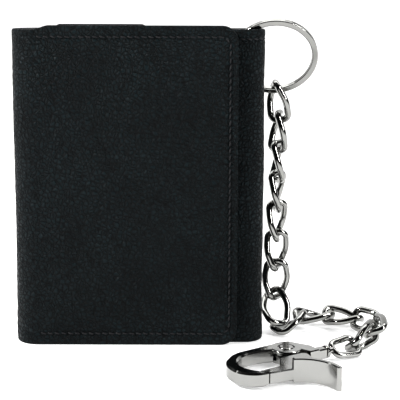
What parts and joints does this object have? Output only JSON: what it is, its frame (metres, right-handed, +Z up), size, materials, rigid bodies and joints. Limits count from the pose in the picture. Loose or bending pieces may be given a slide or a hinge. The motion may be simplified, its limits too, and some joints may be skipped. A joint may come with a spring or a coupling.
{
  "type": "chain wallet",
  "caption": "Trifold wallet of pebbled leather, closed and standing, with an eyelet, split ring, curb chain and swivelling trigger hook.",
  "frame": {"origin": "on the floor under the middle of the closed wallet", "axes": "+Z up, -Y is the front of the flap, +X towards the chain and hook"},
  "size_m": [0.1286, 0.0679, 0.1105],
  "materials": {
    "outer_leather": "pebbled, satin",
    "lining": "matt woven",
    "pocket_leather": "smooth, satin",
    "thread": "waxed",
    "window_film": "clear flexible film",
    "eyelet_metal": "polished",
    "chain_chrome": "polished",
    "spring_steel": "satin",
    "hook_chrome": "polished"
  },
  "bodies": {
    "wallet_back": {"back_cover": "outer_leather", "back_lining": "lining", "bill_divider": "lining", "back_card_pockets": "pocket_leather", "eyelet_barrel": "eyelet_metal", "eyelet_washer": "eyelet_metal"},
    "left_fold": {"left_fold_cover": "outer_leather", "left_fold_lining": "lining"},
    "flap": {"flap_cover": "outer_leather", "flap_lining": "lining", "flap_card_pockets": "pocket_leather", "flap_seam_thread": "thread"},
    "inner_panel": {"right_fold_leather": "outer_leather", "right_fold_thread": "thread", "inner_panel_cover": "outer_leather", "inner_card_pockets": "pocket_leather", "id_window_film": "window_film", "id_window_frame": "pocket_leather"},
    "ring": {"split_ring": "chain_chrome"},
    "link_01": {"chain_link_01": "chain_chrome"},
    "link_02": {"chain_link_02": "chain_chrome"},
    "link_03": {"chain_link_03": "chain_chrome"},
    "link_04": {"chain_link_04": "chain_chrome"},
    "link_05": {"chain_link_05": "chain_chrome"},
    "link_06": {"chain_link_06": "chain_chrome"},
    "link_07": {"chain_link_07": "chain_chrome"},
    "link_08": {"chain_link_08": "chain_chrome"},
    "link_09": {"chain_link_09": "chain_chrome"},
    "link_10": {"chain_link_10": "chain_chrome"},
    "link_11": {"chain_link_11": "chain_chrome"},
    "link_12": {"chain_link_12": "chain_chrome"},
    "link_13": {"chain_link_13": "chain_chrome"},
    "link_14": {"chain_link_14": "chain_chrome"},
    "eye": {"swivel_eye": "hook_chrome", "swivel_collar": "hook_chrome"},
    "hook": {"hook_body": "hook_chrome", "pivot_rivet": "hook_chrome", "trigger_spring": "spring_steel"},
    "trigger": {"trigger_lever": "hook_chrome"}
  },
  "joints": [
    {"name": "left_fold_bend", "type": "hinge", "parent": "wallet_back", "child": "left_fold", "pos_m": [-0.0344, 0.0078, 0.054], "axis": [0, 0, -1], "range_deg": [0, 90]},
    {"name": "flap_bend", "type": "hinge", "parent": "left_fold", "child": "flap", "pos_m": [-0.0344, -0.0078, 0.054], "axis": [0, 0, -1], "range_deg": [0, 90]},
    {"name": "inner_panel_bend", "type": "hinge", "parent": "wallet_back", "child": "inner_panel", "pos_m": [0.0384, 0.0078, 0.054], "axis": [0, 0, 1], "range_deg": [0, 11]},
    {"name": "ring_turn", "type": "hinge", "parent": "wallet_back", "child": "ring", "pos_m": [0.04575, 0.005, 0.09715], "axis": [0, -0.866, -0.5], "range_deg": [0, 110]},
    {"name": "link_01_swing", "type": "hinge", "parent": "ring", "child": "link_01", "pos_m": [0.04575, 0.01185, 0.08528], "axis": [1, 0, 0], "range_deg": [0, 30]},
    {"name": "link_02_swing", "type": "hinge", "parent": "link_01", "child": "link_02", "pos_m": [0.04843, 0.0118, 0.07473], "axis": [-0.9418, 0.309, -0.1324], "range_deg": [-25, 0]},
    {"name": "link_03_swing", "type": "hinge", "parent": "link_02", "child": "link_03", "pos_m": [0.04766, 0.01193, 0.06411], "axis": [-0.8059, 0.5914, 0.0281], "range_deg": [-25, 0]},
    {"name": "link_04_swing", "type": "hinge", "parent": "link_03", "child": "link_04", "pos_m": [0.04772, 0.01189, 0.05351], "axis": [-0.5839, 0.8118, 0], "range_deg": [-25, 0]},
    {"name": "link_05_swing", "type": "hinge", "parent": "link_04", "child": "link_05", "pos_m": [0.04772, 0.01189, 0.04291], "axis": [-0.3044, 0.9525, 0], "range_deg": [-25, 0]},
    {"name": "link_06_swing", "type": "hinge", "parent": "link_05", "child": "link_06", "pos_m": [0.04772, 0.01189, 0.03231], "axis": [0.0048, 1, 0], "range_deg": [-25, 0]},
    {"name": "link_07_swing", "type": "hinge", "parent": "link_06", "child": "link_07", "pos_m": [0.04772, 0.01189, 0.02171], "axis": [0.3136, 0.9496, 0], "range_deg": [-25, 0]},
    {"name": "link_08_swing", "type": "hinge", "parent": "link_07", "child": "link_08", "pos_m": [0.04772, 0.01189, 0.01111], "axis": [0.5917, 0.8062, 0], "range_deg": [-25, 15]},
    {"name": "link_09_swing", "type": "hinge", "parent": "link_08", "child": "link_09", "pos_m": [0.04821, 0.00328, 0.00424], "axis": [0.8777, 0.4019, -0.2611], "range_deg": [-25, 10]},
    {"name": "link_10_swing", "type": "hinge", "parent": "link_09", "child": "link_10", "pos_m": [0.05738, 0.01166, 0.00408], "axis": [-0.2138, 0.4871, -0.8468], "range_deg": [-25, 10]},
    {"name": "link_11_swing", "type": "hinge", "parent": "link_10", "child": "link_11", "pos_m": [0.06791, 0.013, 0.00375], "axis": [-0.139, 0.7423, -0.6555], "range_deg": [-25, 10]},
    {"name": "link_12_swing", "type": "hinge", "parent": "link_11", "child": "link_12", "pos_m": [0.07802, 0.00929, 0.00396], "axis": [0.2456, 0.8573, -0.4525], "range_deg": [-25, 10]},
    {"name": "link_13_swing", "type": "hinge", "parent": "link_12", "child": "link_13", "pos_m": [0.08325, -0.00053, 0.00472], "axis": [0.8171, 0.5703, -0.0841], "range_deg": [-25, 10]},
    {"name": "link_14_swing", "type": "hinge", "parent": "link_13", "child": "link_14", "pos_m": [0.07952, -0.01129, 0.00626], "axis": [0.938, -0.1189, 0.3255], "range_deg": [-25, 3]},
    {"name": "eye_swing", "type": "hinge", "parent": "link_14", "child": "eye", "pos_m": [0.07034, -0.01734, 0.00325], "axis": [0.455, -0.6967, 0.5546], "range_deg": [-15, 15]},
    {"name": "hook_swivel", "type": "hinge", "parent": "eye", "child": "hook", "pos_m": [0.06113, -0.02307, 0.00321], "axis": [0.848, 0.5299, 0], "continuous": true},
    {"name": "trigger_press", "type": "hinge", "parent": "hook", "child": "trigger", "pos_m": [0.04856, -0.02467, 0.00321], "axis": [0, 0, -1], "range_deg": [0, 13], "stiffness_Nm_per_rad": 0.02, "springref_deg": -11.46}
  ],
  "couplings": [
    {"joint": "flap_bend", "follows": "left_fold_bend", "ratio": 1},
    {"joint": "inner_panel_bend", "follows": "left_fold_bend", "ratio": 0.12}
  ]
}
